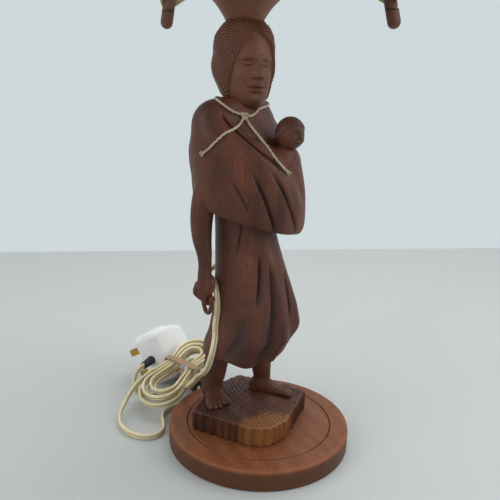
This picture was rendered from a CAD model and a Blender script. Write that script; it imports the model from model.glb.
"""A carved wooden table lamp. A woman with a child in her wrap stands on a turned disc and carries
a turned bowl, and the bowl holds the lampholder and a four-sided parchment shade."""

import math

import bpy
import numpy as np
from mathutils import Matrix, Vector


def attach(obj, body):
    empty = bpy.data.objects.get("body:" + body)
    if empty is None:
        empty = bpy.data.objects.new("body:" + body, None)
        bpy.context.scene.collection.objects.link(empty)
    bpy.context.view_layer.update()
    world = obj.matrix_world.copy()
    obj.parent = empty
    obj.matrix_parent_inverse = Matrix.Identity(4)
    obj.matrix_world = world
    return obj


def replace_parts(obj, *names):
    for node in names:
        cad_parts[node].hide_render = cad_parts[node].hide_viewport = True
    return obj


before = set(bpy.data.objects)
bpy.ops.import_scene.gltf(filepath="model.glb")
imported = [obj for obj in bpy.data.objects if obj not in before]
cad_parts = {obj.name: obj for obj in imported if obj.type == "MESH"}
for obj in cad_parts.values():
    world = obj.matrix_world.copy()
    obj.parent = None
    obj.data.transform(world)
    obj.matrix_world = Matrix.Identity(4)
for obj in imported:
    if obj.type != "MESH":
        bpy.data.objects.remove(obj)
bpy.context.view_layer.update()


# Camera
# The picture is taken from a little above the lamp's own middle, 0.41 m in front of the disc's
# centre. The camera looks slightly down and is held a little askew.

camera_at = Vector((-0.01117, -0.4101, 0.2539))
looks_down, leans = math.radians(13.9), math.radians(1.93)
frame_px, focal_px, sensor_mm = 500, 574.3, 36

camera = bpy.data.objects.new("camera", bpy.data.cameras.new("camera"))
bpy.context.scene.collection.objects.link(camera)
bpy.context.scene.camera = camera
camera.data.sensor_width = sensor_mm
camera.data.lens = sensor_mm * focal_px / frame_px
camera.data.clip_start = 0.01
level_right = Vector((1, 0, 0))
level_up = Vector((0, math.sin(looks_down), math.cos(looks_down)))
right = math.cos(leans) * level_right + math.sin(leans) * level_up
up = math.cos(leans) * level_up - math.sin(leans) * level_right
held = Matrix((right, up, right.cross(up))).transposed().to_4x4()
camera.matrix_world = Matrix.Translation(camera_at) @ held


# Room
# A plain pale floor runs back to a plain pale wall that stands a little askew. The wall is only the
# colour that the world shows behind the floor's far edge, so nothing stands behind the lamp. Three
# large soft lamps and the light of the room fall on it from above and from both sides.


class Value:
    """What one socket gives. Arithmetic on it adds Math nodes, so a mask reads as an expression."""

    def __init__(self, nodes, socket):
        self.nodes = nodes
        self.socket = socket

    def maths(self, operation, *values):
        return self.nodes.node("ShaderNodeMath", {"operation": operation}, *values)

    def __add__(self, other):
        return self.maths("ADD", self, other)

    __radd__ = __add__

    def __sub__(self, other):
        return self.maths("SUBTRACT", self, other)

    def __rsub__(self, other):
        return self.maths("SUBTRACT", other, self)

    def __mul__(self, other):
        return self.maths("MULTIPLY", self, other)

    __rmul__ = __mul__

    def sine(self):
        return self.maths("SINE", self)


class Nodes:
    """A tree of nodes, and the one method that adds a node to it."""

    def __init__(self, tree):
        self.tree = tree

    def feed(self, socket, value):
        """Gives a socket a link or a constant."""
        if isinstance(value, Value):
            self.tree.links.new(value.socket, socket)
        elif value is not None:
            socket.default_value = value

    def node(self, kind, settings, *values, output=0, **named):
        """Adds a node: its settings first, then what its sockets get, by place or by name."""
        made = self.tree.nodes.new(kind)
        for key, setting in settings.items():
            setattr(made, key, setting)
        for key, value in list(enumerate(values)) + list(named.items()):
            self.feed(made.inputs[key], value)
        return Value(self, made.outputs[output])


class Finish(Nodes):
    """A procedural material: one Principled shader and the nodes that colour it. Its lengths are in
    metres."""

    def __init__(self, name, **constants):
        self.name = name
        self.material = bpy.data.materials.new(name)
        self.material.use_nodes = True
        super().__init__(self.material.node_tree)
        self.shader = self.tree.nodes["Principled BSDF"]
        for socket, value in constants.items():
            self.shader.inputs[socket.replace("_", " ")].default_value = value
        self.place = self.node("ShaderNodeTexCoord", {}, output="Object")

    def stretched(self, scale):
        """The place, longer or shorter along each axis."""
        return self.node("ShaderNodeVectorMath", {"operation": "MULTIPLY"}, self.place, scale)

    def noise(self, scale, detail=2, roughness=0.5, place=None, distortion=0):
        return self.node("ShaderNodeTexNoise", {}, Vector=place or self.place, Scale=scale,
            Detail=detail, Roughness=roughness, Distortion=distortion)

    def fade(self, value, low, high):
        """Goes smoothly from 0 at low to 1 at high."""
        return self.node("ShaderNodeMapRange", {"interpolation_type": "SMOOTHSTEP"},
            value, low, high, 0, 1)

    def blend(self, share, first, second):
        """A colour between two others, each a value or a code."""
        first, second = (tint(c) if isinstance(c, str) else c for c in (first, second))
        return self.node("ShaderNodeMix", {"data_type": "RGBA"}, share,
            None, None, None, None, None, first, second, output=2)

    def over(self, colour, *layers):
        """A colour with others laid over it in turn, each (share, colour)."""
        for share, laid in layers:
            colour = self.blend(share, colour, laid)
        return colour

    def axis(self, index):
        """One coordinate of the place."""
        return self.node("ShaderNodeSeparateXYZ", {}, self.place, output=index)

    def distance(self, point, scale=(1, 1, 1)):
        """How far the place is from a point, with each axis scaled first."""
        return self.node("ShaderNodeVectorMath", {"operation": "DISTANCE"}, self.stretched(scale),
            tuple(p * s for p, s in zip(point, scale)), output="Value")

    def mark(self):
        """The number that a mesh keeps for each of its points."""
        return self.node("ShaderNodeAttribute", {"attribute_name": "mark"}, output="Fac")

    def set(self, colour, roughness=None, height=None, depth=0.0005):
        """Joins what varies to the shader. Height is in shares of the depth, in metres."""
        self.feed(self.shader.inputs["Base Color"], colour)
        self.feed(self.shader.inputs["Roughness"], roughness)
        if height is not None:
            self.feed(self.shader.inputs["Normal"],
                self.node("ShaderNodeBump", {}, Strength=1, Distance=depth, Height=height))


def tint(code):
    """A colour written as on paper, "#rrggbb", turned into the shader's linear light."""
    shares = [int(code[i : i + 2], 16) / 255 for i in (1, 3, 5)]
    return (*[s / 12.92 if s <= 0.04045 else ((s + 0.055) / 1.055) ** 2.4 for s in shares], 1)


floor_finish = Finish("floor_paint", Roughness=0.75)
floor_finish.set(floor_finish.blend(floor_finish.noise(3), "#b6bab8", "#bdc1bf"))

floor_reach, floor_drop = 4, 0.0002
wall_left, wall_right = Vector((-0.4397, 0.5417, 0)), Vector((0.485, 0.7021, 0))
wall_run = (wall_right - wall_left).normalized()
floor_corners = [(-floor_reach, -floor_reach), (floor_reach, -floor_reach),
    wall_left + 4.5 * wall_run, wall_left - 3.5 * wall_run]
floor_mesh = bpy.data.meshes.new("floor")
floor_mesh.from_pydata([(c[0], c[1], -floor_drop) for c in floor_corners], [], [(0, 1, 2, 3)])
floor_mesh.materials.append(floor_finish.material)
floor = bpy.data.objects.new("floor", floor_mesh)
bpy.context.scene.collection.objects.link(floor)

for name, at, aim, size, watts in (
    ("lamp_above", (0.25, 0.42, 1.45), (0, 0, 0.1), 1.3, 12.8),
    ("lamp_left", (-1, -0.7, 0.75), (-0.02, 0, 0.15), 1, 6.4),
    ("lamp_right", (1, -0.35, 0.65), (-0.02, 0, 0.15), 0.8, 5.2),
):
    light = bpy.data.lights.new(name, "AREA")
    light.size = size
    light.energy = watts
    lamp = bpy.data.objects.new(name, light)
    bpy.context.scene.collection.objects.link(lamp)
    lamp.visible_camera = False
    lamp.location = at
    lamp.rotation_euler = (Vector(aim) - Vector(at)).to_track_quat("-Z", "Y").to_euler()

world = bpy.data.worlds.new("room")
bpy.context.scene.world = world
world.use_nodes = True
sky = Nodes(world.node_tree)
room_light = sky.tree.nodes["Background"]
room_light.inputs["Color"].default_value = tint("#eef2f5")
room_light.inputs["Strength"].default_value = 0.55
rays = sky.tree.nodes.new("ShaderNodeLightPath")
seen = 0
for kind in ("Is Camera Ray", "Is Glossy Ray", "Is Transmission Ray"):
    ray = Value(sky, rays.outputs[kind])
    seen = ray.maths("MAXIMUM", ray, seen)
wall_paint = sky.node("ShaderNodeBackground", {}, tint("#cfd8db"), 1)
shown = sky.node("ShaderNodeMixShader", {}, seen, Value(sky, room_light.outputs[0]), wall_paint)
sky.feed(sky.tree.nodes["World Output"].inputs["Surface"], shown)
bpy.context.scene.view_settings.view_transform = "Standard"


# Base disc
# A disc of reddish hardwood, turned on a lathe: eased edges and one fine ring cut into its top. Two
# steel wood screws hold the carving from below, through the disc.


def wood(name, dark, middle, light, grain, rings, flecks=0.55, coat=0, turn=0, patchy=0.6):
    """Oiled wood. grain is how much finer the pattern is along each axis: 1 across the fibres and a
    small share along them. Broad patches and growth bands set the tone, short dark pores break it,
    and the fibres and the pores raise the surface a little. turn is the turn of the fibres about Z,
    and patchy the weight of the broad patches."""
    finish = Finish(name, Coat_Roughness=0.35, Coat_Weight=coat, Specular_IOR_Level=0.25)
    if turn:
        finish.place = finish.node("ShaderNodeMapping", {}, finish.place, None,
            (0, 0, math.radians(turn)))
    grained = finish.stretched(grain)
    patches = finish.noise(16, 3, 0.6)
    waves = finish.noise(22, 2, 0.5, finish.stretched(tuple(0.25 + 0.75 * g for g in grain)))
    run = finish.node("ShaderNodeVectorMath", {"operation": "DOT_PRODUCT"}, grained, rings,
        output="Value")
    bands = 0.5 + 0.5 * (run + 9 * waves).sine()
    fibres = finish.noise(900, 4, 0.65, grained)
    pore_from, pore_to = 0.66 - 0.05 * flecks, 0.74 - 0.05 * flecks
    pores = finish.fade(finish.noise(1500, 1, 0.5, grained), pore_from, pore_to)
    tone = patchy * patches + 0.1 * bands + 0.32 * fibres + (0.6 - patchy) * 0.5
    pore_colour = (*[0.35 * c for c in tint(dark)[:3]], 1)
    colour = finish.over(dark, (finish.fade(tone, 0.34, 0.56), middle),
        (finish.fade(tone, 0.52, 0.72), light), (pores * (0.75 * flecks), pore_colour))
    return finish, colour, fibres, pores


def plain(name, dark, light, noise, roughness, depth, fine=None, **constants):
    """A material of nearly one colour. One noise (scale, detail, roughness) sets its colour between
    dark and light, its roughness from the first number up by the second, and its height. fine is
    the scale of another noise that sets the height instead."""
    finish = Finish(name, **constants)
    uneven = finish.noise(*noise)
    height = finish.noise(fine) if fine else uneven
    least, more = roughness
    finish.set(finish.blend(uneven, dark, light), least + more * uneven, height, depth)
    return finish


def dress(finish, *nodes):
    """Gives CAD nodes this finish."""
    for node in nodes:
        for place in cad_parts[node].material_slots:
            place.material = finish.material


disc_wood, colour, fibres, pores = wood("disc_wood", "#683c25", "#7a472b", "#8d5938",
    (0.12, 1, 1), (40, 420, 90), flecks=1.05, coat=0.05, turn=63, patchy=0.2)
out = disc_wood.distance((0, 0, 0), (1, 1, 0))
edge = disc_wood.fade(out, 0.0655, 0.0705)
ring = disc_wood.fade(out, 0.0550, 0.0560) * (1 - disc_wood.fade(out, 0.0561, 0.0570))
side = 1 - disc_wood.fade(disc_wood.axis(2), 0.0115, 0.0150)
colour = disc_wood.over(colour, (0.35 * edge, "#9a5a30"), (0.6 * ring, "#3a241a"),
    (0.75 * side, "#3e2816"))
disc_wood.set(colour, 0.42 + 0.2 * fibres, 0.5 * fibres - 0.8 * pores, 0.0002)
dress(disc_wood, "base_disc")

steel = plain("steel", "#8d8d89", "#b9b9b4", (220, 3, 0.6), (0.28, 0.25), 0.00005, Metallic=1)
dress(steel, "base_screws", "plug_screw", "switch_screws")


# Carved figure
# One piece of dark reddish hardwood, carved with gouges and a knife and oiled: ground, legs, skirt,
# wrap, arm, child and head. Lengths are in millimetres and turns in degrees. On her, X goes
# forwards, Y to her left and Z up from the ground's top.

axis_at = np.array([-20, 0, 0])
ground_at, ground_low = 31, 15.4
faces = -40


def along(points, t):
    """A smooth curve through the points, at steps t. Between two points it is a cubic, whose slope
    at each of them is half the way from the point before it to the point after it."""
    p = np.asarray(points, float)
    last = len(p) - 1
    i = np.clip(np.floor(t).astype(int), 0, last - 1)
    f = (t - i)[:, None]
    a, b, c, d = p[np.maximum(i - 1, 0)], p[i], p[i + 1], p[np.minimum(i + 2, last)]
    return b + 0.5 * f * ((c - a) + f * (2 * a - 5 * b + 4 * c - d + f * (3 * (b - c) + d - a)))


def through(points, count):
    """The whole of that curve, as so many points."""
    return along(points, np.linspace(0, len(points) - 1, count))


def ramp(x, low, high):
    """Goes smoothly from 0 at low to 1 at high: three times the square of the share of the way,
    less twice its cube."""
    u = np.clip((x - low) / (high - low), 0, 1)
    return u * u * (3 - 2 * u)


def span(x, low, full, fades, high):
    """Goes smoothly from 0 at low to 1 at full, and back from 1 where it fades to 0 at high."""
    return ramp(x, low, full) * (1 - ramp(x, fades, high))


def hump(x, at, width):
    """A bell of height 1 at one place: the exponential of minus the square of how many widths x
    lies away from it."""
    return np.exp(-(((x - at) / width) ** 2))


def squared_off(x, power):
    """A cosine or sine with its size raised to a power, which squares off the round it draws."""
    return np.sign(x) * np.abs(x) ** power


def even_turns(count):
    """The turns of a full round in even steps."""
    return np.arange(count) * 360 / count


def towards(turn):
    """The cosine and the sine of a turn."""
    return np.cos(np.radians(turn)), np.sin(np.radians(turn))


def turned(turn, at):
    """The smallest turn from one direction to another."""
    return (turn - at + 540) % 360 - 180


def points_at(x, y, z):
    """Points from their coordinates, each an array, a row, a column or one number."""
    return np.stack(np.broadcast_arrays(x, y, z), axis=-1)


def spun(points, turn):
    """Points turned about Z."""
    x, y, z = points[..., 0], points[..., 1], points[..., 2]
    c, s = towards(turn)
    return points_at(c * x - s * y, s * x + c * y, z)


def on_ground(points):
    """Turns points laid out about the woman to the way she faces, and gives them in metres."""
    return (spun(points, faces) + axis_at + [0, 0, ground_at]) / 1000


def unit(vectors):
    """The same directions, one long."""
    return vectors / np.linalg.norm(vectors, axis=-1, keepdims=True)


def fold(height, turn, low, high, sharp, soft, depth, ends=7):
    """A carved crease from low to high, each (height, turn): a hollow bell over the turn off its
    line, steep on one side and soft on the other, that runs out at both ends."""
    share = (height - low[0]) / (high[0] - low[0])
    off = turned(turn, low[1] + share * (high[1] - low[1]))
    reached = span(height, low[0] - ends, low[0] + ends, high[0] - ends, high[0] + ends)
    return -depth * hump(off, 0, np.where(off < 0, sharp, soft)) * reached


def girth(stations, turn, swell, cut):
    """X and Y of the ellipses that stations (height, middle x, y, half width x, y) give, swollen by
    a share and moved outwards by a cut."""
    return (stations[:, i : i + 1] + (stations[:, i + 2 : i + 3] * (1 + swell) + cut) * way
        for i, way in zip((1, 2), towards(turn)))


def carried(line, up, across, upward, closed=False):
    """Carries an outline along a line. Its across and upward reaches are arrays (ring or 1, place),
    and across lies square to up and to the line."""
    if closed:
        heading = unit(np.roll(line, -1, axis=0) - np.roll(line, 1, axis=0))
    else:
        heading = unit(np.gradient(line, axis=0))
    side = unit(np.cross(up, heading))
    top = np.cross(heading, side)
    return line[:, None] + side[:, None] * across[..., None] + top[:, None] * upward[..., None]


def limb(path, radii, places=32, rings=60, up=(0, 1, 0), flat=1):
    """A round limb along a smooth path whose radius changes, with domed ends. flat is its thickness
    as a share of its width."""
    line, radius = through(path, rings), through(np.reshape(radii, (-1, 1)), rings)
    thin, rise = (part[:, None] for part in towards(np.linspace(90, 12, 7)))
    first = line[0] + unit(line[0] - line[1]) * radius[0] * rise
    last = line[-1] + unit(line[-1] - line[-2]) * radius[-1] * rise[::-1]
    line = np.vstack([first, line, last])
    radius = np.vstack([radius[0] * thin, radius, radius[-1] * thin[::-1]])
    across, upward = towards(even_turns(places))
    return carried(line, up, radius * across, flat * radius * upward)


def piece(name, shells, finish, joined=False, marks=None, sharp=None):
    """One mesh object made of closed shells. A shell is an array (ring, place, 3) in metres. Its
    neighbouring points are joined by quads, and a fan to its centre closes the first and the last
    ring, or the last ring meets the first where joined. A shell that comes out inside out is turned
    round. marks has one number a point for each shell, which the finish can read."""
    points, faces, numbers, first = [], [], [], 0
    for k, rings in enumerate(shells):
        m, n = rings.shape[:2]
        here = np.arange(m * n).reshape(m, n)
        beside = np.roll(here, -1, axis=1)
        above, beyond = np.roll(here, -1, axis=0), np.roll(beside, -1, axis=0)
        rows = slice(0, m if joined else m - 1)
        quads = np.stack([here[rows], beside[rows], beyond[rows], above[rows]], axis=-1)
        quads = quads.reshape(-1, 4)
        flat = rings.reshape(-1, 3)
        number = np.zeros(m * n) if marks is None else np.broadcast_to(marks[k], (m, n)).ravel()
        fans = np.zeros((0, 3), int)
        if not joined:
            flat = np.vstack([flat, rings[0].mean(axis=0), rings[-1].mean(axis=0)])
            number = np.append(number, [number[:n].mean(), number[-n:].mean()])
            fans = np.vstack([
                np.stack([np.full(n, m * n), beside[0], here[0]], axis=-1),
                np.stack([np.full(n, m * n + 1), here[-1], beside[-1]], axis=-1)])
        a, b, c, d = (flat[quads[:, i]] for i in range(4))
        volume = np.sum(a * (np.cross(b, c) + np.cross(c, d)))
        volume += np.sum(flat[fans[:, 0]] * np.cross(flat[fans[:, 1]], flat[fans[:, 2]]))
        if volume < 0:
            quads, fans = quads[:, ::-1], fans[:, ::-1]
        points.append(flat)
        numbers.append(number)
        faces += (quads + first).tolist() + (fans + first).tolist()
        first += len(flat)
    mesh = bpy.data.meshes.new(name)
    mesh.from_pydata(np.vstack(points), [], faces)
    mesh.validate()
    mesh.shade_smooth()
    if sharp:
        mesh.set_sharp_from_angle(angle=math.radians(sharp))
    kept = mesh.attributes.new("mark", "FLOAT", "POINT").data
    kept.foreach_set("value", np.concatenate(numbers).astype(np.float32))
    mesh.materials.append(finish.material)
    made = bpy.data.objects.new(name, mesh)
    bpy.context.scene.collection.objects.link(made)
    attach(made, "stand")
    return made


figure_wood, colour, fibres, pores = wood("figure_wood", "#3c231a", "#573123", "#72422f",
    (1, 1, 0.07), (300, 260, 60), flecks=0.4, coat=0.05)
cuts = figure_wood.noise(120, 1.5, 0.4, figure_wood.stretched((1, 1, 0.35)))
from_corner = figure_wood.distance((0.008, -0.0395, 0.022), (1, 1, 0.8))
from_corner = from_corner + 0.016 * figure_wood.noise(60)
below_top = 1 - figure_wood.fade(figure_wood.axis(2), 0.0325, 0.034)
pale = (1 - figure_wood.fade(from_corner, 0.026, 0.034)) * below_top
handled = 1 - figure_wood.fade(figure_wood.distance((-0.0195, -0.002, 0.283)), 0.024, 0.034)
hollow = figure_wood.mark()
colour = figure_wood.over(colour, (0.8 * pale, "#8e5c30"), (0.4 * handled, "#83563f"),
    (hollow, "#1e1310"))
figure_wood.set(colour, 0.38 + 0.22 * fibres + 0.1 * hollow,
    0.3 * fibres - 0.6 * pores + 1.6 * cuts, 0.00028)

# Ground under her feet, fluted round its sides with a gouge, its top covered with punched pits
ground_corners = np.array(
    [[-32, -19], [12, -41], [27, -42], [41, -28], [59, 20], [3, 45], [-17, 25]], float)
ground_corner_r = [4, 8, 8, 6, 5, 5, 6]
ground_places = 560
flute_w, flute_depth = 6.6, 2
pit_apart, pit_long, pit_wide, pit_depth = 3.1, 0.95, 0.68, 1


def run_of(line):
    """How far along a line each of its points lies."""
    return np.append(0, np.cumsum(np.linalg.norm(np.diff(line, axis=0), axis=1)))


def spaced(line, count, closed=False):
    """The same line as so many evenly spaced points, the last one left out where it is closed."""
    run = run_of(line)
    at = np.linspace(0, run[-1], count, endpoint=not closed)
    return np.stack([np.interp(at, run, part) for part in line.T], axis=-1)


def outline(corners, radius, count):
    """A polygon with rounded corners as evenly spaced points, their outward directions and its
    length. Each corner is an arc about the point that lies one radius inside both of its sides. The
    radius is one for all corners or one for each."""
    arcs = []
    for a, b, c, r in zip(np.roll(corners, 1, axis=0), corners, np.roll(corners, -1, axis=0),
            np.broadcast_to(radius, len(corners))):
        u, v = unit(b - a), unit(c - b)
        half = math.acos(np.clip(u @ v, -1, 1)) / 2
        centre = b + unit(v - u) * r / math.cos(half)
        angles = math.atan2(-u[0], u[1]) + np.linspace(0, 2 * half, 24)
        arcs.append(centre + r * np.stack([np.cos(angles), np.sin(angles)], axis=-1))
    whole = np.vstack(arcs + [arcs[0][:1]])
    line = spaced(whole, count, closed=True)
    ahead = unit(np.roll(line, -1, axis=0) - np.roll(line, 1, axis=0))
    return line, np.stack([ahead[:, 1], -ahead[:, 0]], axis=-1), run_of(whole)[-1]


edge, outward, edge_length = outline(ground_corners, ground_corner_r, ground_places)
round_share = np.arange(ground_places) / ground_places
phase = round_share * round(edge_length / flute_w) + 0.25 * np.sin(round_share * 2 * np.pi * 7)
across_flute = phase % 1
scoop = 1 - (2 * across_flute - 1) ** 2
uneven = 0.25 * np.sin(phase * 2.1 + 1) + 0.2 * np.sin(phase * 3.7)
rise = np.concatenate([[0, 0.02], np.linspace(0.06, 0.93, 14), [0.965, 0.99]])[:, None]
eased = np.concatenate([[0.8, 0.3], np.zeros(14), [0.15, 0.5]])[:, None]
drawn_in = (flute_depth * scoop + 0.3 * uneven) * (1 - 0.6 * ramp(rise, 0.7, 1)) + eased
sides = points_at(edge[:, 0] - outward[:, 0] * drawn_in, edge[:, 1] - outward[:, 1] * drawn_in,
    ground_low + rise * (ground_at - ground_low) + 0.5 * rise ** 3 * uneven)
inward = (np.linspace(0.012, 0.985, 104) ** 0.85)[:, None]
top_x, top_y = (middle + (rim - middle) * (1 - inward)
    for middle, rim in zip(edge.mean(axis=0), sides[-1, :, :2].T))
lean_x, lean_y = top_x * 0.94 + top_y * 0.34, top_y * 0.94 - top_x * 0.34
pits = np.zeros_like(top_x)
for dx in (-1, 0, 1):
    for dy in (-1, 0, 1):
        i, j = np.floor(lean_x / pit_apart) + dx, np.floor(lean_y / pit_apart) + dy
        chance_x = np.sin(i * 127.1 + j * 311.7) * 43758.5453 % 1
        chance_y = np.sin(i * 269.5 + j * 183.3) * 24634.6345 % 1
        off_x = lean_x - (i + 0.3 + 0.4 * chance_x) * pit_apart
        off_y = lean_y - (j + 0.3 + 0.4 * chance_y) * pit_apart
        off = (off_x / pit_long) ** 2 + (off_y / pit_wide) ** 2
        pits = np.maximum(pits, np.exp(-off ** 1.6))
pits = pits * span(inward, 0.03, 0.06, 0.93, 0.97)
top_z = ground_at + 0.35 * np.sin(top_x * 0.21 + 1) * np.sin(top_y * 0.17) * ramp(inward, 0, 0.2)
top_z = top_z + 0.5 * uneven * (1 - ramp(inward, 0, 0.12)) - pit_depth * pits
ground_rings = (np.concatenate([sides, points_at(top_x, top_y, top_z)]) + axis_at) / 1000
shaded = scoop * (1 - ramp(across_flute, 0.05, 0.6))
ground_mark = np.concatenate([np.tile(0.5 * shaded, (len(sides), 1)), 0.1 + 0.85 * pits])
ground = piece("carved_ground", [ground_rings], figure_wood, marks=[ground_mark], sharp=50)
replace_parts(ground, "carved_figure")


# Legs and bare feet
def foot(at, turn, length, width):
    """A bare foot. Across it goes a flattened round whose width, top and underside change from the
    heel to the ball, and each toe is a short limb with a domed end."""
    x = np.linspace(-0.30, 0.58, 44)[:, None]
    half = width * np.interp(x, [-0.30, -0.24, -0.1, 0.1, 0.35, 0.5, 0.58],
        [0.12, 0.30, 0.36, 0.37, 0.46, 0.5, 0.44])
    high = np.interp(x, [-0.30, -0.24, -0.1, 0.08, 0.25, 0.42, 0.58],
        [5, 10, 14, 13, 8.6, 5.6, 4])
    cos, sin = towards(even_turns(40))
    middle_z, under = 2.2, 3.4
    z = np.where(sin > 0, middle_z + (high - middle_z) * np.abs(sin) ** 0.9,
        middle_z - under * np.abs(sin) ** 0.6)
    shells = [points_at(x * length, half * squared_off(cos, 0.85), z)]
    for i in range(-2, 3):
        tip = length * (0.80 - 0.022 * (i + 1.2) ** 2)
        r = 2.6 if i == -2 else 1.95
        toe = [[length * 0.42, i * width * 0.17, 2.6], [length * 0.62, i * width * 0.205, 2.7],
            [tip - r, i * width * 0.215, 1.8]]
        shells.append(limb(toe, [r * 1.15, r * 1.05, r * 0.95], 16, 14, up=(0, 0, 1)))
    return [spun(shell, turn) + at for shell in shells]


shells = []
for foot_at, knee_at, turn, length, width, stout in (
    ([-17.9, -5.9, 0], [-12, -3, 52], -30, 32, 18, 1.3),
    ([4.6, 28.5, 0], [6, 22, 52], 26, 33, 14.5, 1.05),
):
    f, k = np.array(foot_at, float), np.array(knee_at, float)
    leg = [k + [0, 0, 6], k, (3 * k + f) / 4 + [0, 0, 4], (k + 3 * f) / 4 + [0, 0, 8],
        f + [0, 0, 13], f + [0, 0, 6]]
    leg_r = [8, 10, 9 * stout ** 0.3, 7.4 * stout ** 0.8, 6.6 * stout, 6.8 * stout]
    shells += [limb(leg, leg_r, 40, 60)] + foot(foot_at, turn, length, width)
piece("carved_legs", [on_ground(shell) for shell in shells], figure_wood)

# Skirt: broad folds that start at the hem and die out at the waist, and a few sharp knife creases.
# A station is (height, middle x, y, half width x, y), a fold (turn, width, share of the radius)
skirt_stations = [
    [62, 2, 9, 5, 5], [54, 2, 9, 20, 20], [45, 1, 8.5, 28, 28], [41.5, 0.5, 8.8, 31, 31],
    [44, 0.8, 9.4, 32.3, 32.3], [50, 2.5, 10.8, 33.4, 33.4], [59, 6, 13, 34.4, 34.4],
    [70, 6.5, 13.3, 33, 33], [82, 6.5, 12.8, 31.3, 31.3], [94, 5.7, 11.6, 29.2, 29.2],
    [108, 4.3, 9.7, 26.6, 26.6], [122, 3.2, 7.4, 24.3, 24.3], [136, 2.2, 5.4, 22.4, 22.4],
    [154, 1.5, 4, 21, 22], [172, 1.5, 4, 19, 20]]
skirt_folds = [(-50, 12, 0.06), (-25, 9, -0.07), (-8, 9, 0.05), (7, 9, -0.05), (23, 10, 0.05),
    (-80, 13, -0.05), (-110, 13, 0.04), (60, 13, -0.06), (100, 14, 0.05), (140, 13, -0.05),
    (180, 14, 0.05), (-145, 13, -0.04)]
skirt_creases = [((88, -47), (119, -32), 0.9, 5, 2.5), ((76, 9), (103, 16), 3.4, 0.9, 2),
    ((46, -36), (112, -16), 0.9, 9, 2.3),
    ((46, -75), (76, -62), 5, 5, 0.9), ((50, 40), (92, 50), 2, 6, 1),
    ((48, 92), (104, 84), 6, 2.4, 1.2),
    ((50, 135), (96, 146), 2.4, 6, 1.1), ((47, -160), (110, -152), 2.4, 7, 1.2),
    ((48, -118), (88, -110), 5, 2.4, 0.9), ((126, -66), (146, -53), 1, 3, 1.3)]
stations = through(skirt_stations, 220)
height, turn = stations[:, :1], even_turns(440)
swell = sum(share * hump(turned(turn, at), 0, width) for at, width, share in skirt_folds)
cut = sum(fold(height, turn, *crease) for crease in skirt_creases)
x, y = girth(stations, turn, swell * (1 - ramp(height, 60, 140)), cut)
lifted = 0.6 * np.maximum(y - 14, 0) * (1 - ramp(height, 42, 96))
let_down = 2.6 * hump(turned(turn, -42), 0, 17) * (1 - ramp(height, 42, 75))
piece("carved_skirt", [on_ground(points_at(x, y, height + lifted - let_down))], figure_wood,
    marks=[np.clip(-cut * 0.4, 0, 0.75)])

# Wrap: it hangs round her shoulders and holds the child in front, with creases that fan out from
# the child's seat, and the edge of one layer that crosses her chest. A fold is (turn at a height of
# 140, turn a millimetre upwards, width, share of the radius, from height, to height)
wrap_stations = [
    [171, 2, 5, 7, 7], [160, 2, 5, 29, 29], [151.5, 2.4, 5.4, 34.8, 34.2],
    [148, 2.8, 6, 37.8, 37.4], [150, 3.2, 6.3, 39.8, 39.2], [156, 3.5, 6.4, 41.2, 40.4],
    [166, 3.3, 5.9, 41.8, 41],
    [176, 2.8, 4.8, 41.6, 41.2], [186, 2, 3.2, 39.4, 41], [194, 1, 1.8, 36, 40.8],
    [201, -0.4, 0.6, 30, 40.4], [207, -2, -0.6, 25, 39.4], [213, -3.8, -1.7, 21.6, 37.4],
    [219, -4, -2.4, 18.6, 35], [224, -3.2, -2.5, 15.4, 31], [227.5, -2.2, -2, 12.6, 24.5],
    [229.5, -1.5, -1, 10.5, 12]]
wrap_folds = [(-20, -0.5, 9, -0.018, 140, 190), (12, -0.5, 9, -0.018, 140, 194),
    (44, -0.8, 9, -0.05, 165, 214), (-60, -0.3, 10, -0.025, 140, 180),
    (85, 0.4, 11, -0.04, 140, 200), (130, 0.3, 11, -0.04, 140, 210),
    (-150, -0.3, 11, -0.04, 140, 215), (170, 0.2, 11, -0.03, 140, 200)]
wrap_creases = [((149, -23), (179, -42), 0.9, 3.2, 2.6), ((153, 5), (181, -21.5), 0.9, 3.2, 2.8),
    ((157, -50), (174, -64), 0.9, 3, 1.5), ((200, 20), (222, 64), 3, 6, 1.2),
    ((196, 34), (216, 78), 3, 7, 1.1), ((160, 66), (196, 50), 5, 2.4, 1.2),
    ((156, 112), (198, 92), 6, 2.6, 1.2), ((154, 152), (204, 128), 7, 2.6, 1.3),
    ((156, -168), (206, -196), 2.6, 7, 1.3), ((154, -128), (196, -150), 2.6, 7, 1.1)]


def wrap_at(height, stations, turn, cut=0):
    """Ellipses stacked upwards, each drawn in where a broad fold crosses its height, and let down
    towards the front by a slope that ends at her shoulders."""
    broad = sum(share * hump(turned(turn, at + lean * (height - 140)), 0, width)
        * span(height, low, low + 12, high - 12, high)
        for at, lean, width, share, low, high in wrap_folds)
    x, y = girth(stations, turn, broad, cut)
    c, s = towards(faces)
    return points_at(x, y, height - 0.27 * (x * c - y * s) * (1 - ramp(height, 155, 205)))


def layer_edge(below, rise, full, runs, cut, at, width):
    """The edge of a layer, by how far a place lies below it: a low step that is full a little way
    down and then runs out, and a cut above it."""
    return (rise * ramp(below, -0.5, full) * hump(np.maximum(below, 0), 0, runs)
        - cut * hump(below, at, width))


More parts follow.
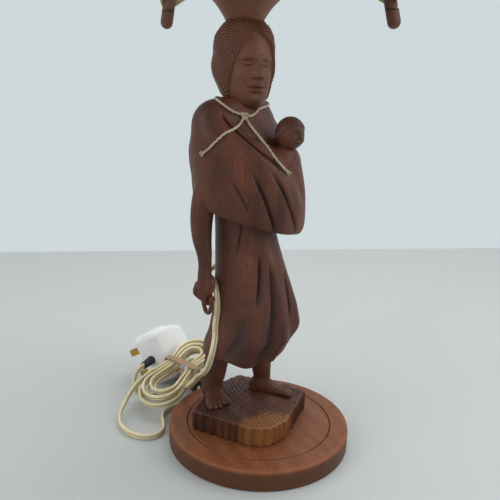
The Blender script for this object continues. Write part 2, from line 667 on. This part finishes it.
stations, turn = through(wrap_stations, 205), even_turns(470)
height, signed = stations[:, :1], turned(turn, 0)
across_chest = np.interp(signed, [-50, -40.4, -33.7, -27.1, -15, -6, 4],
    [216, 208.6, 201.6, 193, 187, 184.1, 181])
under_child = np.interp(signed, [-30, -16.5, 0, 20, 60, 80], [203, 199.6, 197.2, 196.5, 203, 210])
step = (layer_edge(across_chest - height, 1, 0.5, 14, 2.2, -1.6, 1.6)
    * span(signed, -54, -44, -6, 6)
    + layer_edge(under_child - height, 1.2, 0.7, 12, 1.6, -2.2, 2)
    * span(signed, -34, -18, 62, 80))
cut = sum(fold(height, turn, *crease) for crease in wrap_creases)
piece("carved_wrap", [on_ground(wrap_at(height, stations, turn, cut + step))], figure_wood,
    marks=[np.clip(-(cut + np.minimum(step, 0)) * 0.34, 0, 0.6)])

# Hanging arm, and a hand closed round a small handle. A finger is its knuckle, bend, underside and
# tip, and the next one lies a step further on at each of them
upper_arm = [[-7, -19, 186], [-8.6, -24, 170], [-9.8, -27, 156], [-10, -28.2, 144],
    [-9, -28.4, 132], [-7, -28, 122], [-6, -28.2, 114], [-5.8, -28.6, 107]]
palm = [[-5.9, -28.6, 111], [-5.9, -28.5, 104], [-5.8, -28.4, 98], [-5.4, -28.2, 93]]
finger = np.array(
    [[-10.6, -30.4, 99], [-10.8, -32.2, 93.4], [-8.6, -28.8, 89.8], [-6.2, -25.4, 92.4]])
next_finger = np.array([[2.3, 0.7, -1.2], [2.3, 0.9, -1.6], [2, 0.5, -1.2], [1.7, 0.3, -1.2]])
thumb = [[-3.4, -25.6, 104], [-1.6, -25, 98.5], [-2.2, -26.4, 93.6]]
c, s = towards(160 + 44 * np.linspace(0, 5, 40))
handle = points_at(-4 + 6 * c, -27.2 - 2 * c, 87.5 + 9 * s)
forwards = (1, 0, 0)
arm = [limb(upper_arm, [9, 8.8, 8.4, 7.8, 6.8, 5.4, 4.7, 5], 40, 80, forwards),
    limb(palm, [4.8, 5.6, 6.4, 5.2], 36, 40, forwards, flat=0.8)]
arm += [limb(finger + i * next_finger, [2.3, 2.15, 2, 1.75], 20, 30, (1, 0.2, 0))
    for i in range(4)]
arm += [limb(thumb, [2.5, 2.3, 1.9], 20, 24, forwards), limb(handle, np.full(40, 1.6), 18, 60)]
piece("carved_arm", [on_ground(shell) for shell in arm], figure_wood)

# Head: the face is a plain calm one, laid out on the usual thirds, and the combed hair runs in
# carved locks from a middle parting round the head to the nape
head_stations = [
    [222, 9.5, 0, 5, 5.5], [225, 8, 0, 9.5, 9.8], [230, 5.5, 0, 14.3, 13.6], [237, 3, 0, 18.2, 16],
    [246, 1.5, 0, 20.4, 17.6], [255, 0.5, 0, 21.8, 18.4], [263, 0.3, 0, 21.4, 18.2],
    [270, 0.5, 0, 18.6, 16.8], [275, 1, 0, 15, 14.4], [279, 1, 0, 11.4, 11.4]]
hair_stations = [
    [229.4, -8.4, 0, 5, 6], [230.6, -8.8, 0, 8.6, 9.6], [232.4, -8.4, 0, 11.2, 12],
    [235, -7.4, 0, 13.4, 13.8], [239, -6.2, 0, 15.6, 16], [245, -4.6, 0, 18.8, 18.8],
    [252, -2.9, 0, 21, 20.2], [259, -1.4, 0, 21, 20], [265, 0, 0, 19.8, 18.8],
    [270, 0.8, 0, 17.6, 17], [275, 1.6, 0, 14.4, 14], [279, 1.2, 0, 11.4, 11.4]]


def reach(stations, height, turn, centre):
    """How far an ellipse's edge is from a centre on the head's middle plane, in a direction: the
    larger root of the ellipse's equation along that ray."""
    t = np.interp(height[:, 0], [p[0] for p in stations], np.arange(len(stations)))
    s = along(stations, t)
    a, b = s[:, 3:4], s[:, 4:5]
    c, n = towards(turn)
    u = centre - s[:, 1:2]
    qa, qb, qc = (c / a) ** 2 + (n / b) ** 2, u * c / a ** 2, (u / a) ** 2 - 1
    return (-qb + np.sqrt(np.maximum(qb ** 2 - qa * qc, 0))) / qa


def mounds(across, up, table):
    """Round mounds and hollows: a height times one bell across and one bell upwards, for each row
    (height, place across, half width, place up, half height)."""
    return sum(high * hump(across, at, wide) * hump(up, at_up, tall)
        for high, at, wide, at_up, tall in table)


def ridge(across, up, line, tall, ends):
    """A ridge one high that follows a line across a face and runs out where it ends."""
    return hump(up, line, tall) * np.exp(-(across / ends) ** 4)


height, turn = np.linspace(222.2, 279, 205)[:, None], even_turns(460)
c, s = towards(turn)
centre = np.interp(height, [222, 228, 236, 250, 279], [8.2, 3, 0.5, 0, 1])
face_r = reach(head_stations, height, turn, centre)
hair_out = np.maximum(reach(hair_stations, height, turn, centre), face_r + 2)
side = np.abs(turned(turn, 0))
hairline = np.interp(side, [0, 6, 18, 30, 42, 52, 60, 70, 100, 180],
    [271, 270.5, 267.5, 262.5, 254, 244, 235, 229, 225, 224])
combed = ramp(height, hairline - 0.4, hairline + 0.5)
w = np.abs(face_r * s)
front = 1 - ramp(side, 60, 85)
lid_line = hump(height, 249.6 + 0.05 * (w - 6.7) ** 2, 0.5) * hump(w, 6.7, 3.4)
crease_above = hump(height, 252.9 - 0.07 * (w - 6.7) ** 2, 0.5) * hump(w, 6.7, 3.6)
lip_line = ridge(w, height, 235.8 + 0.02 * w ** 1.5, 0.5, 5.8)
brows = ridge(w, height, 255.2 - 0.02 * (w - 6) ** 2, 2, 12)
upper_lip = ridge(w, height, 237.3 - 0.03 * w ** 1.6, 1.1, 5.2)
lower_lip = ridge(w, height, 234.2 + 0.03 * w ** 1.6, 1.25, 4.4)
nose_w = 1.7 + 1.5 * ramp(height, 252, 243)
nose = ramp(height, 256, 243.4) * ramp(height, 240.6, 242.8) * hump(w, 0, nose_w)
eye_hollow, eyeball = (-2.3, 6.6, 4.4, 250.6, 3), (1.8, 6.7, 3.3, 250.3, 2)
nostril, over_lip = (1.5, 3.1, 1.3, 242.4, 1.3), (-0.5, 0, 0.9, 239, 1.2)
mouth_corner, under_lip = (-0.6, 5.9, 1, 236, 1), (-0.8, 0, 5, 231.2, 1.4)
chin, cheek = (1.3, 0, 5.5, 227.6, 3), (0.7, 10, 4.5, 243, 5)
features = front * (1 * brows - 0.9 * lid_line - 0.7 * crease_above + 4.4 * nose
    + 1.3 * upper_lip + 1.5 * lower_lip - 1.3 * lip_line + mounds(w, height,
        [eye_hollow, eyeball, nostril, over_lip, mouth_corner, under_lip, chin, cheek]))
nape, brow = np.array([-15, 0, 229]), np.array([22, 0, 266])
lead = unit(nape - brow)
above = np.cross(lead, [0, 1, 0])
from_brow = points_at(centre + hair_out * c, hair_out * s, height) - brow
run = from_brow @ lead
sweep = np.degrees(np.arctan2(from_brow[..., 1], from_brow @ above))
wave = 200 * np.sin(run * 0.36 + 0.012 * sweep) + 30 * np.sin(run * 0.83)
grooves = 26
lock = np.abs(np.sin(np.radians(sweep * grooves + wave))) ** 0.6
parting = hump(from_brow[..., 1], 0, 0.8) * ramp(height, 262, 268)
hair_r = hair_out + 0.9 * lock - 0.6 + 0.4 * np.sin(run * 0.36 + 0.6) - 0.9 * parting
r = (face_r + features) * (1 - combed) + hair_r * combed
r = r * (1 - 0.04 * ramp(height, 276.5, 279))
head_turn = -22
head = spun(points_at(centre + r * c, r * s, height), head_turn)
drawn = (0.45 * lid_line + 0.3 * crease_above + 0.3 * lip_line) * front
drawn = drawn - 0.1 * np.minimum(features, 0)
hollows = np.clip(0.8 * combed * (1 - lock) ** 1.3 + drawn * (1 - combed), 0, 0.75)
neck = limb([[-2, 0, 208], [-1, 0, 218], [1, 0, 228], [2, 0, 238]], [13, 10.8, 10.4, 10.6], 40, 40)
piece("carved_head", [on_ground(head), on_ground(neck)], figure_wood, marks=[hollows, np.zeros(1)])

# Child: its head looks out of the wrap, its shoulders fill the wrap's edge
child_at, child_r, child_turn = [36.2, 8.5, 206.3], 10, -11
tall, turn = np.linspace(-88, 88, 130)[:, None], even_turns(180)
c, s = towards(turn)
ball_x, ball_z = towards(tall)
side = np.abs(turned(turn, 0))
lie, w = child_r * ball_z, child_r * ball_x * np.abs(s)
cap_edge = np.interp(side, [0, 30, 60, 80, 110, 180], [5.4, 5, 3, -0.5, -5.5, -7.5])
cap = ramp(lie, cap_edge - 0.25, cap_edge + 0.35)
nose = ramp(lie, 2.6, -0.9) * ramp(lie, -2.3, -1.2) * hump(w, 0, 1.1 + 0.6 * ramp(lie, 1, -1))
eye_hollow, eyeball = (-0.8, 3.5, 2, 1.2, 1.4), (0.6, 3.5, 1.5, 1, 0.9)
lid, cheek = (-0.25, 3.5, 1.5, 0.6, 0.25), (0.5, 4.6, 2.2, -3.2, 2.2)
small_face = (1 - ramp(side, 55, 80)) * (1.3 * nose
    + 0.35 * ridge(w, lie, 2.8, 0.9, 6) + 0.55 * ridge(w, lie, -4, 0.55, 2.5)
    + 0.6 * ridge(w, lie, -5.4, 0.6, 2.1) - 0.45 * ridge(w, lie, -4.7, 0.25, 2.7)
    + mounds(w, lie, [eye_hollow, eyeball, lid, cheek]))
ears = mounds(side, lie, [(1.6, 96, 9, -0.6, 2)])
strands = np.abs(np.sin(np.radians(turned(turn, 0) * 8 + 40 * np.sin(lie * 0.7)))) ** 0.6
skull = child_r * np.interp(tall, [-90, -60, -20, 20, 90], [0.93, 0.95, 1, 1.02, 1])
r = skull + 1.5 * small_face * (1 - cap) + cap * (0.6 + 0.3 * strands) + ears
child = points_at(r * 0.96 * ball_x * c, r * 0.94 * ball_x * s, r * 1.1 * ball_z)
child = spun(child, child_turn) + child_at
hollows = cap * (0.15 + 0.5 * (1 - strands) ** 2) - 0.3 * np.minimum(small_face, 0) * (1 - cap)
shoulders = limb([[30, 2, 176], [31, 6, 186], [31.5, 9, 191], [30, 16, 187], [29, 20, 178]],
    [9, 10, 9.4, 9, 8], 40, 40, forwards)
piece("carved_child", [on_ground(child), on_ground(shoulders)], figure_wood,
    marks=[np.clip(hollows, 0, 0.6), np.zeros(1)])


# Bowl
# Turned from a lighter piece of the same wood, flared like a trumpet and glued on her crown. It
# hides the washer and nut of the threaded tube that clamps the lampholder.

bowl_wood, colour, fibres, pores = wood("bowl_wood", "#5f3928", "#784c36", "#906045",
    (0.12, 1, 1), (60, 380, 120), coat=0.08)
turning = bowl_wood.noise(900, 2, 0.5, bowl_wood.stretched((0.02, 0.02, 1)))
bowl_wood.set(bowl_wood.blend(0.25 * turning, colour, "#5c3b2d"), 0.4 + 0.2 * fibres,
    0.4 * fibres - 0.6 * pores + 0.8 * turning, 0.0002)
dress(bowl_wood, "bowl")

brass = plain("brass", "#9a7a3c", "#d0aa5a", (70, 4, 0.6), (0.24, 0.3), 0.00006, Metallic=1)
dress(brass, "threaded_tube", "tube_washer", "tube_nut", "holder_plungers", "plug_pins")


# Lampholder
# A brass bayonet lampholder: cap and shell pressed from sheet, a threaded shade ring that clamps
# the carrier, and inside it a glazed ceramic insert with two sprung plungers.

holder_brass = Finish("holder_brass", Metallic=1)
dull = holder_brass.noise(60, 4, 0.6)
spin = holder_brass.noise(2600, 2, 0.5, holder_brass.stretched((0.02, 0.02, 1)))
holder_brass.set(holder_brass.blend(dull, "#8e6c34", "#c49a4e"), 0.26 + 0.25 * dull + 0.1 * spin,
    0.3 * dull + 0.5 * spin, 0.00008)
dress(holder_brass, "holder_cap", "holder_shell", "shade_ring")

dress(plain("ceramic", "#ddd6c6", "#efeadd", (120, 3, 0.5), (0.25, 0.15), 0.0001,
    Coat_Weight=0.6, Coat_Roughness=0.1), "holder_insert")


# Bulb
# A bulb of glass that is frosted on the inside, cemented into a tinned bayonet cap. Two pins on the
# cap lock in the shell's slots.

dress(plain("bulb_metal", "#a9aaa8", "#d2d2cf", (400, 3, 0.6), (0.25, 0.25), 0.00004,
    Metallic=1), "bulb_cap")
dress(plain("bulb_glass", "#e9e7df", "#f3f1ea", (30, 3, 0.5), (0.45, 0.1), 0.00002,
    fine=1500, Subsurface_Weight=0.15, Coat_Weight=0.3, Coat_Roughness=0.2), "bulb_glass")


# Shade
# Four slanting round sticks of the dark wood, with a fine ring cut near each lower end, carry four
# cream parchment panels with arched edges. A steel carrier and four top rails keep them apart.

stick_wood, colour, fibres, pores = wood("stick_wood", "#482e24", "#654434", "#7d5643",
    (1, 1, 0.1), (260, 220, 60))
up_stick = stick_wood.axis(2)
ring = stick_wood.fade(up_stick, 0.3300, 0.3306) * (1 - stick_wood.fade(up_stick, 0.3312, 0.3318))
rubbed = stick_wood.fade(stick_wood.noise(60, 3), 0.35, 0.65)
rubbed = stick_wood.fade(up_stick, 0.331, 0.336) * rubbed
colour = stick_wood.over(colour, (0.45 * rubbed, "#9b8a78"), (0.8 * ring, "#2b1c16"))
stick_wood.set(colour, 0.45 + 0.2 * fibres, 0.5 * fibres - 0.6 * pores - 1.5 * ring, 0.0002)
dress(stick_wood, *(f"{part}_{i}" for part in ("shade_stick", "top_rail") for i in range(1, 5)))

parchment = Finish("parchment", Subsurface_Weight=0, Sheen_Weight=0.05)
clouds = parchment.noise(28, 5, 0.65, distortion=0.6)
hairs = parchment.noise(520, 3, 0.6, parchment.stretched((1, 1, 0.3)))
colour = parchment.over("#cbbf9c", (parchment.fade(clouds, 0.35, 0.7), "#ded3b2"),
    (0.2 * hairs, "#a8946a"))
parchment.set(colour, 0.5 + 0.15 * clouds, 0.6 * hairs + 0.8 * clouds, 0.00012)
surface = Value(parchment, parchment.shader.outputs["BSDF"])
glow = parchment.node("ShaderNodeBsdfTranslucent", {}, tint("#d8ccaa"))
mixed = parchment.node("ShaderNodeMixShader", {}, 0.35, surface, glow)
parchment.feed(parchment.tree.nodes["Material Output"].inputs["Surface"], mixed)
dress(parchment, *(f"shade_panel_{i}" for i in range(1, 5)))
dress(steel, "shade_carrier")


# Neck string
# Unbleached cotton string of three plies, tied round her neck with a knot in front. Its two tails
# hang over the wrap and each ends in a small knot.

string_d, string_pitch, string_plies = 0.0017, 0.0034, 3


def on_wrap(places):
    """Places on the wrap given as (height, turn), lifted by half a string and a little more."""
    h, t = np.array(places, float).T[..., None]
    heights = [station[0] for station in wrap_stations[4:]]
    stations = along(wrap_stations, 4 + np.interp(h[:, 0], heights, np.arange(len(heights))))
    lift = string_d * 1000 * 0.6 + 0.3
    return (wrap_at(h, stations, t) + lift * points_at(*towards(t), 0.3))[:, 0]


def evenly(line, step):
    """The same line with its points a step apart."""
    return spaced(line, max(int(round(run_of(line)[-1] / step)), 2) + 1)


def twisted(line):
    """A string of twisted plies: a round whose radius swells once for each ply, and the swelling
    turns as it goes along."""
    turn = even_turns(18)
    across, upward = towards(turn)
    twist = 2 * np.pi * run_of(line)[:, None] / string_pitch
    r = string_d / 2 * (0.86 + 0.14 * np.cos(string_plies * np.radians(turn) - twist))
    return carried(line, (0.2, -0.3, 1), r * across, r * upward)


def knot(centre, size, heading):
    """A small overhand knot, closed. Across goes the sine of t plus twice the sine of its double,
    along goes the cosine of t less twice the cosine of its double, and in depth goes the sine of
    three times t, 1.3 times and downwards."""
    t = np.linspace(0, 2 * np.pi, 90, endpoint=False)
    line = size / 3 * points_at(
        np.sin(t) + 2 * np.sin(2 * t), np.cos(t) - 2 * np.cos(2 * t), -1.3 * np.sin(3 * t))
    z = unit(heading)
    x = unit(np.cross([0.3, 0.2, 1], z))
    line = line @ np.array([x, np.cross(z, x), z]) + centre
    across, upward = (0.3 * size * part[None] for part in towards(even_turns(14)))
    return carried(line, -z, across, upward, closed=True)


cotton = Finish("string", Sheen_Weight=0.3, Roughness=0.85)
lint = cotton.noise(2600, 3, 0.6)
soil = cotton.fade(cotton.noise(90, 3), 0.35, 0.7)
cotton.set(cotton.over("#ab9a80", (soil, "#cabca2"), (0.35 * lint, "#8b7a62")), height=lint,
    depth=0.0002)

string_loop = [(218.3, -25), (219.5, -32.5), (222.4, -43.5), (226, -62), (228, -90), (228.6, -122),
    (228.6, -155), (228.6, -188), (228.6, -220), (228, -255), (226.8, -290), (224.5, -325),
    (221.8, -354), (220.1, -359.3), (217.5, -369.6)]
string_knot = (217.1, -20)
tail_left = [(212, -29.4), (208.9, -39.4), (205.6, -53.8), (199.6, -70.4), (195.4, -80),
    (191.2, -90)]
tail_right = [(211.5, -17.6), (205.2, -15.9), (198.7, -16.1), (191, -14.3), (184.3, -4.1)]
knot_at = on_wrap([string_knot])[0]
knots = [knot(knot_at + [0.3, -0.3, 0], 2.4, [0.7, -0.7, 0.2])]
for name, places in (("string_round_neck", string_loop), ("string_tail_left", tail_left),
        ("string_tail_right", tail_right)):
    closed = places is string_loop
    points = np.vstack([knot_at, on_wrap(places)] + [knot_at] * closed)
    line = evenly(through(points, 600), 0.4)
    path = on_ground(line)
    made = piece(name, [twisted(path)], cotton)
    if closed:
        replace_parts(made, "neck_string")
    else:
        knots.append(knot(line[-1], 1.5, [0.6, -0.8, -0.3]))
piece("string_knots", [on_ground(shell) for shell in knots], cotton, joined=True)


# Flex
# Cream flat twin flex, two cores side by side. It comes out at her hip, drops past her hand to a
# tied hank, leaves it in a loose loop to the inline switch, and goes on to the plug.

flex_w, flex_t, flex_step = 5, 2.6, 1.2
lift = flex_w / 2 + 0.1
switch_l, switch_t = 48, 13.5
hip_hole = [-11, 21, 139]
hank_at = np.array([-46, 60, 24])
hank_turn, hank_slope = -126, 19
hank_inner, hank_step, hank_front, hank_back, hank_grow = 10, 5, 20, 12, 2.3
waist_draw, waist_length = 0.34, 20
turns_start, turns_end, turns_back = 0.62, 6.14, 3.62
run_share = 5 / 24
layer_step = flex_w + 0.5
(turn_c, turn_s), (slope_c, slope_s) = towards(hank_turn), towards(hank_slope)
hank_ahead = np.array([turn_c * slope_c, turn_s * slope_c, -slope_s])
hank_side = np.array([-turn_s, turn_c, 0])
hank_up = np.cross(hank_ahead, hank_side)


def on_hank(x, y, z):
    """Places laid out along, across and above the hank, in the lamp's millimetres."""
    return hank_at + x[..., None] * hank_ahead + y[..., None] * hank_side + z[..., None] * hank_up


def hank(t):
    """The hank after t turns. Each turn is two straight runs and two half rounds, wider by a step
    than the one inside it, and all are drawn in at the waist. After the innermost turn of the lower
    layer it climbs and winds outwards again on top."""
    k, u = np.abs(turns_back - t), t - np.floor(t)
    w, front = hank_inner + hank_step * k, hank_front + hank_grow * k
    a = np.pi * (u - run_share) / (0.5 - run_share)
    b = np.pi * (u - 0.5 - run_share) / (0.5 - run_share)
    part = [u < run_share, u < 0.5, u < 0.5 + run_share]
    x = np.select(part, [-hank_back + (front + hank_back) * u / run_share, front + w * np.sin(a),
        front - (front + hank_back) * (u - 0.5) / run_share], -hank_back - w * np.sin(b))
    y = np.select(part, [-w, -w * np.cos(a), w], w * np.cos(b))
    y = y * (1 - waist_draw * hump(x, 0, waist_length))
    return on_hank(x, y, flex_w / 2 + ramp(t, turns_back - 0.1, turns_back + 0.1) * layer_step)


flex_finish = Finish("flex", Coat_Weight=0.15, Coat_Roughness=0.3)
grime = flex_finish.noise(45, 4, 0.6)
colour = flex_finish.over("#cfc299", (flex_finish.fade(grime, 0.35, 0.7), "#e9dcb8"),
    (0.85 * flex_finish.mark(), "#6a5430"))
flex_finish.set(colour, 0.42 + 0.15 * grime, flex_finish.noise(700), 0.00005)


def flex_piece(name, path, up, *stands_for):
    """Flat twin flex: a flattened round as wide as its two cores, pinched in the middle of both
    faces. The mark is the groove of the pinch."""
    c, s = (part[None] for part in towards(even_turns(32)))
    pinch = hump(s, 0, 0.2)
    across = flex_t / 2000 * squared_off(c, 0.8) * (1 - 0.34 * pinch)
    rings = carried(path, up, across, flex_w / 2000 * s)
    made = piece(name, [rings], flex_finish, marks=[pinch ** 2])
    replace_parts(made, *stands_for)
    return made


def smooth_line(points):
    """A smooth curve through the points, as points one flex step apart."""
    return evenly(through(points, 40 * len(points)), flex_step)


hank_line = hank(np.linspace(turns_start, turns_end, 540))
lead_in, lead_out = unit(hank_line[0] - hank_line[1]), unit(hank_line[-1] - hank_line[-2])
hip_meet = [0, 0, 152]
way_out = unit(np.subtract(hip_hole, hip_meet))
drop_points = [hip_hole, hip_hole + 3 * way_out, [-16.4, 27, 133.6], [-21.4, 27, 129.5],
    [-25.8, 22.8, 126.3], [-27.6, 15.5, 126], [-25.6, 4.7, 130.9], [-20.8, -1.2, 132.8],
    [-16.5, -8.6, 130.1], [-14.2, -14, 121.9], [-13.5, -15.3, 111], [-14.5, -16.5, 100],
    [-14.5, -18, 90], [-16, -18.5, 80], [-18, -17, 71], [-20.5, -11, 62], [-24, -3, 54],
    [-28, 6, 47], [-31.5, 13.5, 39.5], [-36, 20.5, 31.5], [-39, 28, 25.8], [-39.5, 35.5, 22.6],
    hank_line[0] + lead_in * 5, hank_line[0]]
loop_points = [hank_line[-1], hank_line[-1] + 2 * lead_out, hank_line[-1] + 7 * lead_out,
    [-84.5, 45, 19], [-89.5, 37.5, 13.5], [-92.5, 28, 8.5], [-94, 18, 4.2], [-92, 8, lift],
    [-87, -1, lift], [-79, -8, lift], [-69, -11.5, lift], [-60, -9, lift], [-55.8, -2, lift],
    [-56.5, 8, lift], [-59, 18, lift], [-58, 28, lift], [-52, 36, lift], [-44, 42.5, lift],
    [-37.5, 48.5, 4], [-34, 55, 6], [-33, 61, switch_t / 2], [-33, 63, switch_t / 2]]
parts = [smooth_line(drop_points), evenly(hank_line, flex_step)[1:], smooth_line(loop_points)[1:]]
flex_line = np.vstack(parts)
flex_line[:, 2] = np.maximum(flex_line[:, 2], lift)
flex_path = (flex_line + axis_at) / 1000
part_up = ([-0.7, -0.5, 0.5], hank_up, [0, 0, 1])
flex_up = np.vstack([np.tile(up, (len(part), 1)) for up, part in zip(part_up, parts)])
blend_over = 25
spread = np.hanning(blend_over) / np.hanning(blend_over).sum()
flex_up = np.pad(flex_up, ((blend_over // 2, blend_over // 2), (0, 0)), mode="edge")
flex_up = np.stack([np.convolve(part, spread, mode="valid") for part in flex_up.T], axis=-1)
flex_lead = flex_piece("flex_lead", flex_path, flex_up, "flex_drop", "flex_hank", "flex_loop")

inner_points = [hip_hole, [-5.5, 10.5, 145.5], [0, 0, 151], [0, 0, 158], [0, 0, 250], [0, 0, 290],
    [0, 0, 343.5]]
inner_path = (evenly(np.array(inner_points, float), 1.5) + axis_at) / 1000
flex_piece("flex_inside", inner_path, (1, -0.3, 0.3), "inner_flex")

# A tan rubber band holds the hank at its waist
band_w, band_t = 5, 1
half = (hank_inner + hank_step * 3) * (1 - waist_draw) + flex_t / 2 + 0.7
low, high = -0.4, 2 * flex_w + 0.5 + 0.6
band_places = 240
line, out, _ = outline(np.array([[-half, low], [half, low], [half, high], [-half, high]]), 3,
    band_places)
c, s = towards(even_turns(16))
thick, wide = band_t / 2 * (squared_off(s, 0.5) + 1), band_w / 2 * squared_off(c, 0.35)
s = np.radians(even_turns(band_places))[:, None]
askew = wide * (1 - 0.08 * np.cos(2 * s)) + 0.5 * np.sin(2 * s + 1)
band_rings = on_hank(askew, *(line[:, i : i + 1] + out[:, i : i + 1] * thick for i in (0, 1)))
rubber = plain("band", "#8d7154", "#b0936f", (160, 4, 0.6), (0.5, 0.2), 0.0001)
band = piece("hank_band", [(band_rings + axis_at) / 1000], rubber, joined=True)
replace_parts(band, "rubber_band")


# Inline switch
# Two black plastic shells, pressed over the flex and held by two screws, with a pale rocker that
# tilts between them.

dress(plain("black_plastic", "#161617", "#262628", (900, 3, 0.6), (0.35, 0.25), 0.00005),
    "switch_lower", "switch_upper")
dress(plain("grey_plastic", "#aaa69b", "#c4c0b4", (700, 3, 0.6), (0.4, 0.2), 0.00005),
    "switch_rocker")


# Plug
# A white three-pin plug, plain on its back: a base with three brass pins, a rounded cover held by
# one screw, and a black rubber grip where the flex goes in. It leans on its edge behind the hank.

plug_w, plug_l, plug_t, base_t = 49, 48, 25, 7
plug_at = np.array([-77, 102, 21.5])
plug_lean, plug_turn = 30, -22
grip_l = 21
grip_end, grip_z = plug_l / 2 - 7.5 + grip_l, base_t + 3
narrow = plug_w * 0.24 + 4.4
plug_corners = np.array([[-plug_w / 2, -plug_l / 2], [plug_w / 2, -plug_l / 2], [plug_w / 2 - 1, 0],
    [narrow, plug_l / 2], [-narrow, plug_l / 2], [-plug_w / 2 + 1, 0]])
corner_r, eased_r, crown_r = 6.5, 5.5, 24


def plug_place(p):
    """Plug coordinates, pins down -Z and flex towards -Y, to the floor behind the hank."""
    x, y, z = np.moveaxis(np.asarray(p, float), -1, 0)
    c, s = towards(plug_lean)
    return spun(points_at(x * s + z * c, y, z * s - x * c), plug_turn) + plug_at


def plug_shell(levels, insets, dome=0):
    """Rounded outlines stacked upwards, each drawn in by its inset, the last ones crowned. Past the
    eased corner the outline only shrinks."""
    line, out, _ = outline(plug_corners, corner_r, 200)
    z, inset = np.reshape(levels, (-1, 1, 1)), np.reshape(insets, (-1, 1, 1))
    shrunk = 1 - np.maximum(inset - eased_r, 0) / (crown_r - eased_r)
    flat = (line - out * np.minimum(inset, eased_r)) * shrunk
    from_middle = np.linalg.norm(flat, axis=-1, keepdims=True)
    crown = dome * (1 - (from_middle / crown_r) ** 2) * (inset > 4)
    return (plug_place(np.concatenate([flat, z + crown], axis=-1)) + axis_at) / 1000


white = plain("white_plastic", "#dddddc", "#ebebe9", (40, 3, 0.5), (0.32, 0.15), 0.00003,
    fine=900, Coat_Weight=0.25, Coat_Roughness=0.2)
base = plug_shell([0, 0.25, 1, 6.4, 6.9, 7], [1.6, 0.9, 0.6, 0.6, 0.9, 1.2])
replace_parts(piece("plug_bottom", [base], white, sharp=40), "plug_base")
wall_top, dome = 15.5, 0.6
c, s = towards(np.linspace(0, 90, 12))
levels = np.concatenate([[base_t, base_t + 0.15, base_t + 0.6],
    np.linspace(base_t + 1, wall_top, 6), wall_top + (plug_t - wall_top - dome) * s,
    np.full(5, plug_t - dome)])
insets = np.concatenate([[0.9, 0.3, 0], np.zeros(6), 5.4 * (1 - c), [8, 12, 16, 20, 22.5]])
cover = piece("plug_top", [plug_shell(levels, insets, dome)], white, sharp=40)
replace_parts(cover, "plug_cover")
dress(plain("black_rubber", "#121212", "#202020", (500, 3, 0.6), (0.6, 0.2), 0.00008),
    "cord_grip")

tail_points = [[-33, 63 + switch_l, switch_t / 2], [-33, 66 + switch_l, switch_t / 2],
    [-33.5, 121, 5], [-37, 129, 3.5], [-44, 132.5, lift], [-51, 129.5, lift], [-54, 122, lift],
    [-54, 112, lift], [-53.5, 100, lift], [-53.5, 90, lift], [-53.5, 80, lift], [-56.2, 71, 2.7],
    [-61.4, 65, 3.5], [-66.6, 61.3, 3.5], [-77.8, 53, 2.9], [-85.5, 48.6, 8.9],
    [-88.6, 48.7, 16.9], [-87.8, 52.2, 23.5],
    *(plug_place([0, back - grip_end, grip_z]) for back in (-7, -2, 2))]
tail_path = (smooth_line(tail_points) + axis_at) / 1000
flex_tail = flex_piece("flex_tail_lead", tail_path, (0, 0, 1), "flex_tail")
